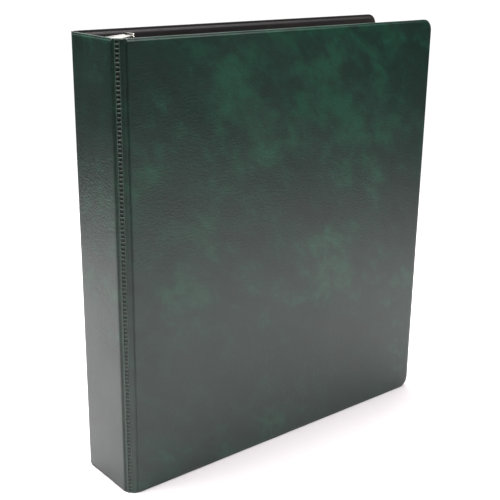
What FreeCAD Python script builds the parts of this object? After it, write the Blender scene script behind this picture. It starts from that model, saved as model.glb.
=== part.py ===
"""Three-ring stamp album with heat-sealed vinyl covers and a spine-mounted ring mechanism.

Frame: +Z up with the album standing on its lower edges, origin at the middle of its base.
-X is the outer face of the spine, +X the fore edge, -Y the front cover and +Y the back cover.
At rest the covers and the rings are closed. Millimetres and degrees.
"""
import FreeCAD
import Part
import os
import re
import Sketcher

DRIVING_SIZES = {
    # the case as a whole
    "album_height": 292.0,      # along the spine
    "album_length": 266.0,      # spine's outer face to fore edge
    "album_depth": 58.4,        # over both closed covers
    "outer_vinyl": 0.5,
    "board_thick": 2.3,
    "inner_lining": 0.4,
    "edge_flange": 2.2,         # welded flange beyond a board's edge
    "fore_corner": 8.0,         # radius of a cover's outer corners
    "web_chamfer": 5.2,         # how far the hinge web cuts each corner of the case
    "fold_to_board": 1.85,      # from a fold line to the board beside it
    "fold_gap": 0.15,           # free space round a web's rolled edge
    # the ring mechanism's cover plate
    "housing_width": 24.0,
    "housing_wall": 5.2,        # height of its straight sides
    "housing_rise": 3.3,        # how much the arch stands above them
    "housing_sheet": 0.9,
    "housing_inset": 4.5,       # from the case's top and bottom edges
    "hem_height": 2.4,          # folded-in edge that carries the blades
    "notch_play": 0.5,          # room round a ring's leg, each side
    "notch_inner": 7.9,         # from the middle line to a notch's inner end
    "notch_floor": 2.9,         # height of a notch's lower end
    # blades, the two plates that carry the ring halves
    "blade_lift": 3.2,          # pivot line above the spine's lining
    "blade_thick": 1.0,
    "blade_tilt": 6.5,          # closed blades dip this much towards the middle
    "blade_play": 0.15,         # pivot edge to the housing's side
    "blade_parting": 0.5,       # between the two blades
    "blade_end_gap": 2.6,       # blade's end to the lever's pin
    # rings
    "ring_inside": 30.0,        # clear diameter of the loop
    "ring_wire": 3.8,
    "ring_pitch": 107.95,
    "ring_floor": 1.9,          # wire's centre circle would bottom out this far above the lining
    "ring_parting": 0.2,        # between the tips of two halves
    "leg_start": 135.0,         # where the loop turns into a straight leg, from its tip
    "tenon_radius": 1.2,
    "tenon_play": 0.05,
    "tenon_inset": 2.45,        # from the blade's pivot line
    "tenon_head": 0.5,
    "tenon_head_radius": 1.5,
    # levers at both ends and their pins
    "pin_radius": 1.0,
    "pin_play": 0.05,
    "pin_lift": 3.6,
    "pin_inset": 2.5,           # from the housing's end
    "pin_head": 0.6,
    "pin_head_radius": 1.8,
    "lever_play": 2.4,          # each side, between the housing's hems
    "lever_sheet": 1.1,
    "lever_tip_width": 8.8,
    "lever_shoulder": 6.0,      # plate starts to narrow this far above the pin
    "arm_top": 0.1,             # arm's upper face above the pin's middle
    "lever_reach": 24.0,        # tip above the spine's lining
    "lever_out": 2.86,          # plate's middle beyond the pin, at its bend
    "lever_rise": 2.7,          # how much further out it is at its tip
    "lever_bend": 2.0,
    "lever_roll": 1.3,          # radius of the rolled tip
    "roll_lift": 0.02,           # roll's middle beyond the plate's
    "tongue_width": 5.0,
    "tongue_reach": 4.0,
    "tongue_gap": 0.2,          # tongue to the spine's lining
    # rivets that hold the mechanism to the spine, their flat heads hidden under the outer vinyl
    "rivet_end_inset": 20.5,    # from the housing's ends
    "rivet_shank": 2.4,
    "rivet_flat_head": 5.0,
    "rivet_head_thick": 0.6,
    "rivet_dome": 4.0,
    "rivet_dome_height": 1.3,
    "rivet_play": 0.05,
    "rivet_seat_depth": 0.4,    # flat seat sunk in the housing's crown
    "blade_cutout": 3.4,        # hole the closed blades leave round a rivet
}

# Lengths worked out from the driving sizes, as text for the expressions.
PANEL = "(outer_vinyl + board_thick + inner_lining)"
WEB_HALF = "((outer_vinyl + inner_lining)/2)"
CHAMFER_SHIFT = f"({PANEL}/2 * tan(22.5))"
SPINE_OUTER = "(-album_length/2)"
SPINE_WELD = "(-album_length/2 + outer_vinyl + board_thick/2)"
SPINE_INNER = f"(-album_length/2 + {PANEL})"
COVER_WELD = "(album_depth/2 - outer_vinyl - board_thick/2)"
SPINE_FOLD_X = f"({SPINE_OUTER} + {PANEL}/2)"
SPINE_FOLD_Y = f"(album_depth/2 - web_chamfer - {CHAMFER_SHIFT})"
COVER_FOLD_X = f"({SPINE_OUTER} + web_chamfer + {CHAMFER_SHIFT})"
WEB_LENGTH = f"(({COVER_FOLD_X} - {SPINE_FOLD_X}) * sqrt(2))"
FLANGE_STOP = f"({WEB_HALF} + fold_gap)"

HOUSING_TOP = "(housing_wall + housing_rise)"
HOUSING_LENGTH = "(album_height - 2*housing_inset)"
ARCH_RADIUS = "(((housing_width/2)^2 + housing_rise^2) / (2*housing_rise))"
INNER_HALF = "(housing_width/2 - housing_sheet)"
INNER_SHOULDER = (f"({HOUSING_TOP} - {ARCH_RADIUS} + "
                  f"sqrt(({ARCH_RADIUS} - housing_sheet)^2 - {INNER_HALF}^2))")
PIN_HEIGHT = "(housing_inset + pin_inset)"
RIVET_HEIGHT = "(housing_inset + rivet_end_inset)"

LEVER_WIDTH = "(housing_width - 4*housing_sheet - 2*lever_play)"

BLADE_PIVOT_Y = f"({INNER_HALF} - blade_play - blade_thick/2)"
BLADE_BOTTOM = f"({PIN_HEIGHT} + blade_end_gap)"
BLADE_LENGTH = f"(album_height - 2*{BLADE_BOTTOM})"
BLADE_WIDTH = f"({BLADE_PIVOT_Y} - blade_parting/2)"

RING_RADIUS = "((ring_inside + ring_wire)/2)"
RING_RISE = f"({RING_RADIUS} + ring_floor - blade_lift)"
RING_IN = f"({BLADE_PIVOT_Y} - ring_parting/2)"
RING_X = f"({RING_RISE}*cos(blade_tilt) + {RING_IN}*sin(blade_tilt))"
RING_Y = f"({RING_IN}*cos(blade_tilt) - {RING_RISE}*sin(blade_tilt))"
RING_STEPS = (("top", 1), ("middle", 0), ("bottom", -1))

SEAT_HEIGHT = f"({HOUSING_TOP} - rivet_seat_depth)"
RIVET_SEAT = f"(board_thick + inner_lining + {SEAT_HEIGHT})"
DOME_RADIUS = "((rivet_dome^2 + rivet_dome_height^2) / (2*rivet_dome_height))"

SIDES = (("front", -1), ("back", 1))
ENDS = (("top", 1), ("bottom", -1))
FACE_PLANES = {"spine": "YZ_Plane", "front": "XZ_Plane", "back": "XZ_Plane"}
PAST_A_RING = "(4*ring_inside)"     # longer than any ring half

doc = FreeCAD.newDocument("StampAlbum")
sheet = doc.addObject("Spreadsheet::Sheet", "Sizes")
for row, (alias, number) in enumerate(DRIVING_SIZES.items(), start=1):
    sheet.set(f"A{row}", str(number))
    sheet.setAlias(f"A{row}", alias)
doc.recompute()
pieces = []


def sized(text):
    """An expression with the sheet's name in front of every alias."""
    return re.sub(r"[a-z_]+", lambda word: f"Sizes.{word[0]}" if word[0] in DRIVING_SIZES else word[0], text)


def number_of(text):
    """The value that an expression has now."""
    value = sheet.evalExpression(sized(str(text)))
    return float(getattr(value, "Value", value))


def bind(thing, **texts):
    """Bind properties to expressions; a double underscore stands for a dot in a property's path."""
    for name, text in texts.items():
        thing.setExpression(name.replace("__", "."), sized(str(text)))


def place(thing, x="0", y="0", z="0", turn="0"):
    """Bind a Placement: a point, and a turn about +Z."""
    bind(thing, Placement=f"create(<<placement>>; create(<<vector>>; {x}; {y}; {z}); "
                          f"create(<<rotation>>; create(<<vector>>; 0; 0; 1); {turn}))")


def new_body(label, x="0", y="0", z="0", turn="0"):
    """A PartDesign body for one sub-part."""
    body = doc.addObject("PartDesign::Body", label)
    body.Label = label
    place(body, x, y, z, turn)
    pieces.append(body)
    return body


def new_sketch(body, plane, offset="0"):
    """An empty sketch on one of the body's own planes, moved along the plane's normal."""
    sketch = body.newObject("Sketcher::SketchObject", f"{body.Name}_sketch")
    support = [item for item in body.Origin.OriginFeatures if item.Role == plane][0]
    sketch.AttachmentSupport = [(support, "")]
    sketch.MapMode = "FlatFace"
    bind(sketch, AttachmentOffset__Base__z=offset)
    return sketch


def hold(sketch, kind, *where, text):
    """Add one dimension to a sketch and bind it."""
    index = sketch.addConstraint(Sketcher.Constraint(kind, *where, number_of(text)))
    sketch.renameConstraint(index, f"size_{index}")
    sketch.setExpression(f"Constraints.size_{index}", sized(str(text)))


def edge_ends(corner):
    """Which point of an edge, 1 or 2, lies at its corner and which at the next: arcs run leftward."""
    return (2, 1) if len(corner) > 2 and corner[3] < 0 else (1, 2)


def draw_loop(sketch, corners):
    """Close a loop through corners (x, y) or (x, y, radius, side).

    With a radius, an arc runs on to the next corner; side is +1 where its centre lies to the left.
    """
    first = sketch.GeometryCount
    spots = [FreeCAD.Vector(number_of(corner[0]), number_of(corner[1]), 0) for corner in corners]
    for index, corner in enumerate(corners):
        start, end = spots[index], spots[(index + 1) % len(spots)]
        if len(corner) == 2:
            sketch.addGeometry(Part.LineSegment(start, end), False)
            continue
        radius, side = number_of(corner[2]), corner[3]
        chord = end - start
        left = FreeCAD.Vector(-chord.y, chord.x, 0).normalize()
        centre = (start + end)*0.5 + left*side*(radius**2 - (chord.Length/2)**2)**0.5
        middle = centre - left*side*radius
        sketch.addGeometry(Part.Arc(start, middle, end), False)
    for index, corner in enumerate(corners):
        edge, following = first + index, first + (index + 1) % len(corners)
        starts_at, ends_at = edge_ends(corner)
        next_start, _ = edge_ends(corners[(index + 1) % len(corners)])
        sketch.addConstraint(Sketcher.Constraint("Coincident", edge, ends_at, following, next_start))
        hold(sketch, "DistanceX", -1, 1, edge, starts_at, text=corner[0])
        hold(sketch, "DistanceY", -1, 1, edge, starts_at, text=corner[1])
        if len(corner) > 2:
            hold(sketch, "Radius", edge, text=corner[2])


def draw_circle(sketch, x, y, radius):
    """Add one circle to a sketch."""
    centre = FreeCAD.Vector(number_of(x), number_of(y), 0)
    index = sketch.addGeometry(Part.Circle(centre, FreeCAD.Vector(0, 0, 1), number_of(radius)), False)
    hold(sketch, "DistanceX", -1, 1, index, 3, text=x)
    hold(sketch, "DistanceY", -1, 1, index, 3, text=y)
    hold(sketch, "Radius", index, text=radius)


def extrude(body, sketch, length, way):
    """Pad a sketch along its normal, against it, or both ways."""
    pad = body.newObject("PartDesign::Pad", f"{body.Name}_pad")
    pad.Profile = sketch
    pad.Reversed = way == "against"
    if way == "both":
        pad.SideType = "Symmetric"
    bind(pad, Length=length)
    doc.recompute()
    return pad


def cut_away(body, sketch, depth, way):
    """Pocket a sketch along its normal, against it, or both ways, and make sure that it cuts."""
    before = body.Shape.Volume
    pocket = body.newObject("PartDesign::Pocket", f"{body.Name}_pocket")
    pocket.Profile = sketch
    pocket.Reversed = way == "along"
    if way == "both":
        pocket.SideType = "Symmetric"
    bind(pocket, Length=depth)
    doc.recompute()
    if body.Shape.Volume > before - 0.01:
        raise RuntimeError(f"a pocket cuts nothing in {body.Label}")
    return pocket


def panel_outline(panel, beyond_board):
    """A panel's face, as a loop whose edges lie this far beyond its board's edges.

    The folded edges of the spine and of a cover stop at the fold, so the flange is shorter there.
    """
    bottom = f"(edge_flange - {beyond_board})"
    top = f"(album_height - edge_flange + {beyond_board})"
    at_fold = f"min({beyond_board}; fold_to_board - {FLANGE_STOP})"
    if panel == "spine":
        edge = f"({SPINE_FOLD_Y} - fold_to_board + {at_fold})"
        return [(f"-{edge}", bottom), (edge, bottom), (edge, top), (f"-{edge}", top)]
    hinge = f"({COVER_FOLD_X} + fold_to_board - {at_fold})"
    fore = f"(album_length/2 - edge_flange + {beyond_board})"
    radius = f"(fore_corner - edge_flange + {beyond_board})"
    return [(hinge, bottom), (f"({fore} - {radius})", bottom, radius, 1),
            (fore, f"({bottom} + {radius})"), (fore, f"({top} - {radius})", radius, 1),
            (f"({fore} - {radius})", top), (hinge, top)]


def make_panel(panel):
    """One stiff panel: its board between the outer vinyl and the lining, welded round the edge."""
    if panel == "spine":
        at = {"x": SPINE_WELD}
        outward, inward = "against", "along"
    else:
        side = dict(SIDES)[panel]
        at = {"y": f"({side} * {COVER_WELD})"}
        outward, inward = ("along", "against") if side < 0 else ("against", "along")

    def face(body, beyond_board):
        sketch = new_sketch(body, FACE_PLANES[panel])
        draw_loop(sketch, panel_outline(panel, beyond_board))
        return sketch

    board = new_body(f"{panel}_board", **at)
    extrude(board, face(board, "0"), "board_thick", "both")

    skins = (("outer_vinyl", "outer_vinyl", outward), ("lining", "inner_lining", inward))
    made = {"board": board}
    for name, thickness, way in skins:
        skin = new_body(f"{panel}_{name}", **at)
        extrude(skin, face(skin, "edge_flange"), thickness, way)
        extrude(skin, face(skin, thickness), f"(board_thick/2 + {thickness})", way)
        cut_away(skin, face(skin, "0"), "board_thick/2", way)
        made[name] = skin
    return made


def make_web(name, side):
    """The hinge web of one cover: both vinyl sheets welded together, rolled at its two folds."""
    strip = doc.addObject("Part::Box", f"{name}_strip")
    bind(strip, Length=WEB_LENGTH, Width=f"(2*{WEB_HALF})", Height="album_height")
    place(strip, y=f"(-{WEB_HALF})")
    parts = [strip]
    for fold, along in (("spine_fold", "0"), ("cover_fold", WEB_LENGTH)):
        roll = doc.addObject("Part::Cylinder", f"{name}_{fold}")
        bind(roll, Radius=WEB_HALF, Height="album_height")
        place(roll, x=along)
        parts.append(roll)
    web = doc.addObject("Part::MultiFuse", f"{name}_hinge_web")
    web.Label = f"{name}_hinge_web"
    web.Shapes = parts
    web.Refine = True
    place(web, x=SPINE_FOLD_X, y=f"({side} * {SPINE_FOLD_Y})", turn=f"({45*side})")
    pieces.append(web)


def make_housing():
    """The arched cover plate: straight sides, a hem along each that carries a blade's edge."""
    body = new_body("ring_housing", x=SPINE_INNER, z="housing_inset")
    half = "(housing_width/2)"
    hem = "(housing_width/2 - 2*housing_sheet)"
    section = new_sketch(body, "XY_Plane")
    draw_loop(section, [
        ("0", f"-{half}"), ("housing_wall", f"-{half}", ARCH_RADIUS, 1),
        ("housing_wall", half), ("0", half), ("0", hem), ("hem_height", hem),
        ("hem_height", INNER_HALF), (INNER_SHOULDER, INNER_HALF, f"({ARCH_RADIUS} - housing_sheet)", -1),
        (INNER_SHOULDER, f"-{INNER_HALF}"), ("hem_height", f"-{INNER_HALF}"),
        ("hem_height", f"-{hem}"), ("0", f"-{hem}")])
    extrude(body, section, HOUSING_LENGTH, "along")

    notches = new_sketch(body, "YZ_Plane", offset="notch_floor")
    for _, step in RING_STEPS:
        low = f"({HOUSING_LENGTH}/2 + {step}*ring_pitch - ring_wire/2 - notch_play)"
        high = f"({HOUSING_LENGTH}/2 + {step}*ring_pitch + ring_wire/2 + notch_play)"
        for side in ("-", ""):
            draw_loop(notches, [(f"{side}notch_inner", low), (f"{side}housing_width", low),
                                (f"{side}housing_width", high), (f"{side}notch_inner", high)])
    cut_away(body, notches, HOUSING_TOP, "along")

    seats = new_sketch(body, "YZ_Plane", offset=SEAT_HEIGHT)
    holes = new_sketch(body, "YZ_Plane", offset=HOUSING_TOP)
    for height in ("rivet_end_inset", f"({HOUSING_LENGTH} - rivet_end_inset)"):
        draw_circle(seats, "0", height, "(rivet_dome + rivet_play)")
        draw_circle(holes, "0", height, "(rivet_shank + rivet_play)")
    cut_away(body, seats, HOUSING_TOP, "along")
    cut_away(body, holes, HOUSING_TOP, "against")

    pin_holes = new_sketch(body, "XZ_Plane")
    for height in ("pin_inset", f"({HOUSING_LENGTH} - pin_inset)"):
        draw_circle(pin_holes, "pin_lift", height, "pin_radius")
    cut_away(body, pin_holes, "(2*housing_width)", "both")


def make_blade(name, side):
    """One blade. Its own frame lies on its pivot line, with x out of its face."""
    body = new_body(f"{name}_blade", x=f"({SPINE_INNER} + blade_lift)", y=f"({side} * {BLADE_PIVOT_Y})",
                    z=BLADE_BOTTOM, turn=f"({-side} * blade_tilt)")
    inner = f"({-side} * {BLADE_WIDTH})"
    plate = new_sketch(body, "XY_Plane")
    draw_loop(plate, [("(-blade_thick/2)", "0"), ("(blade_thick/2)", "0"),
                      ("(blade_thick/2)", inner), ("(-blade_thick/2)", inner)])
    extrude(body, plate, BLADE_LENGTH, "along")
    edge = new_sketch(body, "XY_Plane")
    draw_circle(edge, "0", "0", "(blade_thick/2)")
    extrude(body, edge, BLADE_LENGTH, "along")

    openings = new_sketch(body, "YZ_Plane")
    for _, step in RING_STEPS:
        draw_circle(openings, f"({-side} * tenon_inset)", f"({BLADE_LENGTH}/2 + {step}*ring_pitch)",
                    "(tenon_radius + tenon_play)")
    reach = f"({RIVET_HEIGHT} - {BLADE_BOTTOM})"
    for height in (reach, f"({BLADE_LENGTH} - {reach})"):
        draw_circle(openings, f"({-side} * {BLADE_PIVOT_Y})", height, "blade_cutout")
    cut_away(body, openings, "(4*blade_thick)", "both")


def make_ring_half(side_name, side, step_name, step):
    """One ring half: an arc of wire, a straight leg to the blade, and a tenon headed under it."""
    label = f"{side_name}_{step_name}_ring"

    def solid(kind, name, x="0", y="0", turn="0", tip=None, **sizes):
        item = doc.addObject(kind, f"{label}_{name}")
        bind(item, **sizes)
        lay = "" if tip is None else f" * create(<<rotation>>; create(<<vector>>; 0; 1; 0); {tip})"
        bind(item, Placement=f"create(<<placement>>; create(<<vector>>; {x}; {y}; 0); "
                             f"create(<<rotation>>; create(<<vector>>; 0; 0; 1); {turn}){lay})")
        return item

    ring_y = f"({-side} * {RING_Y})"
    loop_turn = f"({side} * blade_tilt - {0 if side > 0 else 1} * leg_start)"
    loop = solid("Part::Torus", "loop", RING_X, ring_y, loop_turn,
                 Radius1=RING_RADIUS, Radius2="ring_wire/2", Angle1="-180", Angle2="180",
                 Angle3="leg_start")
    leg_angle = f"({side} * (leg_start + blade_tilt))"
    leg_length = "(2*ring_wire + 2*blade_lift)"
    leg = solid("Part::Cylinder", "leg", f"({RING_X} + {RING_RADIUS}*cos({leg_angle}))",
                f"({ring_y} + {RING_RADIUS}*sin({leg_angle}))", f"({leg_angle} + {side}*90)", tip="90",
                Radius="ring_wire/2", Height=leg_length)
    wire = doc.addObject("Part::Fuse", f"{label}_wire")
    wire.Base, wire.Tool = loop, leg

    below = doc.addObject("Part::Box", f"{label}_below_blade")
    bind(below, Length=PAST_A_RING, Width=PAST_A_RING, Height="(4*ring_wire)")
    place(below, x=f"(blade_thick/2 - {PAST_A_RING})", y=f"(-{PAST_A_RING}/2)", z="(-2*ring_wire)")
    trimmed = doc.addObject("Part::Cut", f"{label}_trimmed")
    trimmed.Base, trimmed.Tool = wire, below

    tenon_y = f"({-side} * tenon_inset)"
    tenon = solid("Part::Cylinder", "tenon", "(-blade_thick/2)", tenon_y, tip="90",
                  Radius="tenon_radius", Height="(2*blade_thick)")
    head = solid("Part::Cylinder", "head", "(-blade_thick/2 - tenon_head)", tenon_y, tip="90",
                 Radius="tenon_head_radius", Height="tenon_head")
    half = doc.addObject("Part::MultiFuse", label)
    half.Label = label
    half.Shapes = [trimmed, tenon, head]
    half.Refine = True
    place(half, x=f"({SPINE_INNER} + blade_lift)", y=f"({side} * {BLADE_PIVOT_Y})",
          z=f"(album_height/2 + {step}*ring_pitch)", turn=f"({-side} * blade_tilt)")
    pieces.append(half)


def make_lever(name, end):
    """One opening lever: a hub on the pin, a tongue under the blades, a plate with a rolled tip."""
    height = f"(album_height/2 + {end} * (album_height/2 - {PIN_HEIGHT}))"
    body = new_body(f"{name}_trigger", x=f"({SPINE_INNER} + pin_lift)", z=height)
    tongue_low, tongue_high = "(tongue_gap - pin_lift)", "(tongue_gap - pin_lift + lever_sheet)"
    tongue_tip, riser = f"({-end} * tongue_reach)", f"({end} * lever_sheet/2)"

    tongue = new_sketch(body, "XZ_Plane")
    draw_loop(tongue, [(tongue_low, tongue_tip), (tongue_low, riser), ("0", riser),
                       ("0", f"(-{riser})"), (tongue_high, f"(-{riser})"), (tongue_high, tongue_tip)])
    extrude(body, tongue, "tongue_width", "both")
    hub = new_sketch(body, "XZ_Plane")
    draw_circle(hub, "0", "0", "(pin_radius + lever_sheet)")
    extrude(body, hub, LEVER_WIDTH, "both")

    arm_low = "(arm_top - lever_sheet)"
    outer = "(lever_out + lever_sheet/2)"
    tip = "(lever_reach - pin_lift)"
    inner_bend = "(lever_bend - lever_sheet)"
    plate = new_sketch(body, "XZ_Plane")
    draw_loop(plate, [
        (arm_low, "0"), (arm_low, f"({end} * ({outer} - lever_bend))", "lever_bend", -end),
        (f"({arm_low} + lever_bend)", f"({end} * {outer})"), (tip, f"({end} * ({outer} + lever_rise))"),
        (tip, f"({end} * ({outer} + lever_rise - lever_sheet))"),
        (f"({arm_low} + lever_bend)", f"({end} * ({outer} - lever_sheet))", inner_bend, end),
        ("arm_top", f"({end} * ({outer} - lever_bend))"), ("arm_top", "0")])
    extrude(body, plate, LEVER_WIDTH, "both")
    roll = new_sketch(body, "XZ_Plane")
    draw_circle(roll, tip, f"({end} * (lever_out + lever_rise + roll_lift))", "lever_roll")
    extrude(body, roll, LEVER_WIDTH, "both")
    end_of_roll = f"({tip} + lever_roll)"
    for side in (-1, 1):
        taper = new_sketch(body, "XY_Plane")
        draw_loop(taper, [("lever_shoulder", f"({side} * {LEVER_WIDTH}/2)"),
                          (f"({end_of_roll} + lever_sheet)", f"({side} * {LEVER_WIDTH}/2)"),
                          (f"({end_of_roll} + lever_sheet)", f"({side} * lever_tip_width/2)"),
                          (end_of_roll, f"({side} * lever_tip_width/2)")])
        cut_away(body, taper, "(4*lever_out)", "both")
    bore = new_sketch(body, "XZ_Plane")
    draw_circle(bore, "0", "0", "(pin_radius + pin_play)")
    cut_away(body, bore, f"(2*{LEVER_WIDTH})", "both")

    pin_parts = []
    lengths = (("shank", "pin_radius", "(housing_width/2)", "housing_width"),
               ("front_head", "pin_head_radius", "(housing_width/2 + pin_head)", "pin_head"),
               ("back_head", "pin_head_radius", "(-housing_width/2)", "pin_head"))
    for part_name, radius, start, length in lengths:
        item = doc.addObject("Part::Cylinder", f"{name}_pin_{part_name}")
        bind(item, Radius=radius, Height=length,
             Placement=f"create(<<placement>>; create(<<vector>>; 0; (-{start}); 0); "
                       "create(<<rotation>>; create(<<vector>>; 1; 0; 0); -90))")
        pin_parts.append(item)
    pin = doc.addObject("Part::MultiFuse", f"{name}_trigger_pin")
    pin.Label = f"{name}_trigger_pin"
    pin.Shapes = pin_parts
    place(pin, x=f"({SPINE_INNER} + pin_lift)", z=height)
    pieces.append(pin)


def make_rivet(name, end):
    """One rivet: flat head in the board's outer face, shank, and a dome closed on the housing."""
    height = f"(album_height/2 + {end} * (album_height/2 - {RIVET_HEIGHT}))"
    body = new_body(f"{name}_rivet", x=f"({SPINE_OUTER} + outer_vinyl)", z=height)
    half = new_sketch(body, "XY_Plane")
    draw_loop(half, [
        ("0", "0"), (f"({RIVET_SEAT} + rivet_dome_height)", "0", DOME_RADIUS, 1),
        (RIVET_SEAT, "rivet_dome"), (RIVET_SEAT, "rivet_shank"), ("rivet_head_thick", "rivet_shank"),
        ("rivet_head_thick", "rivet_flat_head"), ("0", "rivet_flat_head")])
    turned = body.newObject("PartDesign::Revolution", f"{name}_rivet_turned")
    turned.Profile = half
    turned.ReferenceAxis = (half, ["H_Axis"])
    turned.Angle = 360
    doc.recompute()


def drill_spine(made):
    """Rivet holes through the spine's board and lining, with a sunk seat for each flat head."""
    heights = (RIVET_HEIGHT, f"(album_height - {RIVET_HEIGHT})")
    for name in ("board", "lining"):
        holes = new_sketch(made[name], "YZ_Plane")
        for height in heights:
            draw_circle(holes, "0", height, "(rivet_shank + rivet_play)")
        cut_away(made[name], holes, f"(4*{PANEL})", "both")
    seats = new_sketch(made["board"], "YZ_Plane", offset="(rivet_head_thick - board_thick/2)")
    for height in heights:
        draw_circle(seats, "0", height, "(rivet_flat_head + rivet_play)")
    cut_away(made["board"], seats, "board_thick", "against")


drill_spine(make_panel("spine"))
for side_name, side_sign in SIDES:
    make_panel(side_name)
    make_web(side_name, side_sign)
    make_blade(side_name, side_sign)
    for ring_name, ring_step in RING_STEPS:
        make_ring_half(side_name, side_sign, ring_name, ring_step)
make_housing()
for end_name, end_sign in ENDS:
    make_lever(end_name, end_sign)
    make_rivet(end_name, end_sign)
doc.recompute()

for thing in doc.Objects:
    if {"Invalid", "Error"} & set(thing.State):
        raise RuntimeError(f"{thing.Label} failed: {thing.State}")
os.makedirs("parts", exist_ok=True)
for piece in pieces:
    if piece.Shape.isNull() or not piece.Shape.isValid():
        raise RuntimeError(f"{piece.Label} has no valid shape")
    piece.Shape.exportStep(f"parts/{piece.Label}.step")
    box = piece.Shape.BoundBox
    print(f"{piece.Label:22s} solids {len(piece.Shape.Solids)}  volume {piece.Shape.Volume:10.1f}  "
          f"x {box.XMin:8.2f} {box.XMax:8.2f}  y {box.YMin:7.2f} {box.YMax:7.2f}  "
          f"z {box.ZMin:7.2f} {box.ZMax:7.2f}")
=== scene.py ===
"""Stamp album: welded vinyl case, hinge webs and a nickel-plated three-ring mechanism.

Run as a script, it builds every piece around the loaded frame, dresses the metal and sets the stage.
All lengths below are metres unless a name or comment says millimetres.
"""
import math

import bmesh
import bpy
from mathutils import Matrix, Vector


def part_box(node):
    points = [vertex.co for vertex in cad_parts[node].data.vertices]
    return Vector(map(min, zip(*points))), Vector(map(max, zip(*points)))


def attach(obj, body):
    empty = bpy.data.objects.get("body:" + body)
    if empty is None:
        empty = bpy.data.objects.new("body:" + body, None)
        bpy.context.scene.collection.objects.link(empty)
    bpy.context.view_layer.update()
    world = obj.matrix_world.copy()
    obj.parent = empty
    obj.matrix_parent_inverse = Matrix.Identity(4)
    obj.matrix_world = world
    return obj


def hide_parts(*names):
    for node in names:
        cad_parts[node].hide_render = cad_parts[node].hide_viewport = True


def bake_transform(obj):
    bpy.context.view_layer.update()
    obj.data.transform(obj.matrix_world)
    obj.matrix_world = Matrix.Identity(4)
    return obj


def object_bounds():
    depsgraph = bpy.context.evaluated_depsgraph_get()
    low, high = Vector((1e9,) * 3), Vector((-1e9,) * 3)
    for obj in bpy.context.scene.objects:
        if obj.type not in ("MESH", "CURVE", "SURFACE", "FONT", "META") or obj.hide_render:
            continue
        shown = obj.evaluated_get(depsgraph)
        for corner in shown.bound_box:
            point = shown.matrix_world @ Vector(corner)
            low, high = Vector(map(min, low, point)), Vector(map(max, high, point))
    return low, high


bl_info = {
    "name": "Stamp Album Maker",
    "version": (1, 0, 0),
    "blender": (4, 5, 0),
    "location": "View3D > Sidebar > Album",
    "description": "Builds a three-ring vinyl stamp album around its CAD frame",
    "category": "Object",
}

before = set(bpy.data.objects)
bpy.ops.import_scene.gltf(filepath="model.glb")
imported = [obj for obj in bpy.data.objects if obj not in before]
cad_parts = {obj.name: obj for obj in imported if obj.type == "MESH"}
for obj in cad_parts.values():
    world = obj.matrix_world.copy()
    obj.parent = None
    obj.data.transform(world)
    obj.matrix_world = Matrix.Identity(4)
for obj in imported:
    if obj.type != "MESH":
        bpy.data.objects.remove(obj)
CAD_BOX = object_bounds()
MM = 0.001
PANELS = ("spine", "front", "back")
COVERS = (("front", -1), ("back", 1))

# stage: where the lights stand and what they are aimed at, and how bright each part of the room is
ALBUM_MIDDLE = (0, 0, 0.12)
KEY_PLACE, KEY_SIZE = (-0.16, 0.20, 1.30), 1.0
FILL_PLACE, FILL_SIZE = (0.45, -0.75, 1.15), 0.8
BACKDROP_DIRECTION = (0.53, 0.84, 0.12)
BACKDROP_EDGE, BACKDROP_CORE = 0.62, 0.92
ROOM_LEVEL, BACKDROP_LEVEL, WHITE_LEVEL = 0.04, 1.2, 1.05
FADE_START, FADE_END = 0.25, 0.95
FLOOR_SIDES = 96

# mesh fineness: parts in a long side, a short side, a corner, a fold and a lever's rounded edge
LONG_PARTS, SHORT_PARTS, CORNER_PARTS = 240, 60, 8
FOLD_PARTS, EDGE_PARTS, HUB_PARTS = 12, 4, 24

# ripple of a welded bead: its waves along the edge, in radians per metre, and up it, in metres
RIPPLE_TURN, RIPPLE_LENGTH = 1400, 3.1*MM
# corner radii: at the fore edge, and the least that a loop is given; a weld line's corner
# sharpens by this share of its distance inside the edge
FORE_CORNER, LEAST_CORNER = 8.0*MM, 0.3*MM
CORNER_LOSS = 0.6
# room between a sheet's inner side and its board: at the board's edge, and over its face
EDGE_ROOM, FACE_ROOM = 0.05*MM, 0.02*MM

# the ladder in a hinge web: its rails, in millimetres from the spine's fold line, and half-widths
RAILS_MM = (0.75, 3.35)
RAIL_HALF, RAIL_FLANK = 0.22*MM, 0.2*MM
RUNG_HALF, RUNG_FLANK = 0.34*MM, 0.3*MM
END_BAR = 0.6*MM
RUNG_SHARE = 0.9
# columns of points across a web, in millimetres: its margin, each rail's flanks and top, and the rest
MARGIN_MM = 0.32
RAIL_STEPS_MM = (-0.42, -0.32, -0.22, -0.12, 0.0, 0.12, 0.22, 0.32, 0.42)
PLAIN_MM = (2.05, 4.2, 4.8, 5.4)
# rows of points up it, as shares of one rung's pitch
ROW_SHARES = (0.0, 0.054, 0.108, 0.162, 0.215, 0.27, 0.5, 0.73, 0.785, 0.838, 0.892, 0.946)
# how far the plain web lies below a sheet's face; a face standing out by more than this share of a rib's
# height gets the painted highlight, and one sunk by more than this share of a cell's depth gets the painted
# shade
WEB_LOWER = 0.10*MM
RIB_FROM, CELL_FROM = 0.4, 0.5

# a fold: how far its strip reaches each side of the corner, how far of that is gripped, and its clearances
FOLD_REACH, FOLD_GRIP = 1.0*MM, 0.55*MM
FOLD_THINNER, FOLD_SHORTER = 0.03*MM, 0.05*MM

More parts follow.
